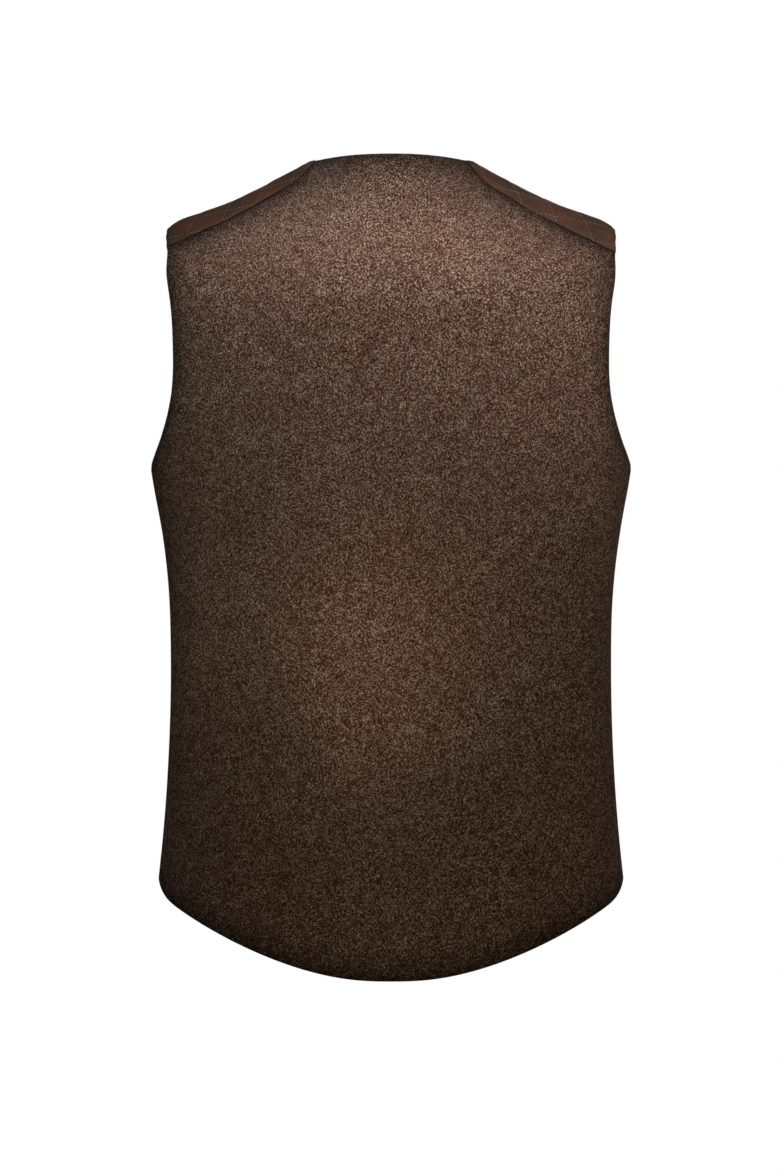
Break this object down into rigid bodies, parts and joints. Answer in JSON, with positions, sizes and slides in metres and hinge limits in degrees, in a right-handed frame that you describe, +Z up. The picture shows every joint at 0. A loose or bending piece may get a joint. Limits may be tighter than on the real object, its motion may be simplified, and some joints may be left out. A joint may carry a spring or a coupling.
{
  "type": "sleeveless loden hunting vest with quilted leather shoulder yokes",
  "caption": "Hollow, worn-form loden hunting vest with a curved tail, open neck, armholes and hem, buttoned V-neck fronts and diamond-quilted leather shoulder yokes.",
  "frame": {"origin": "midway between the two side neck points, where the wearer's shoulders carry the vest", "axes": "+Z up the body, the back faces -Y and the front +Y, +X is the wearer's right"},
  "size_m": [0.4062, 0.2499, 0.6839],
  "materials": {
    "loden": "milled brown heathered wool with fine pale hairs",
    "quilted_leather": "matt brown leather, diamond quilted",
    "horn": "satin dark horn",
    "thread": "pale brown sewing thread"
  },
  "bodies": {
    "root": {"back": "loden", "front_left": "loden", "front_right": "loden", "shoulder_yoke_left": "quilted_leather", "shoulder_yoke_right": "quilted_leather", "button_1": "horn", "button_2": "horn", "button_3": "horn", "button_4": "horn", "button_5": "horn"}
  },
  "joints": []
}
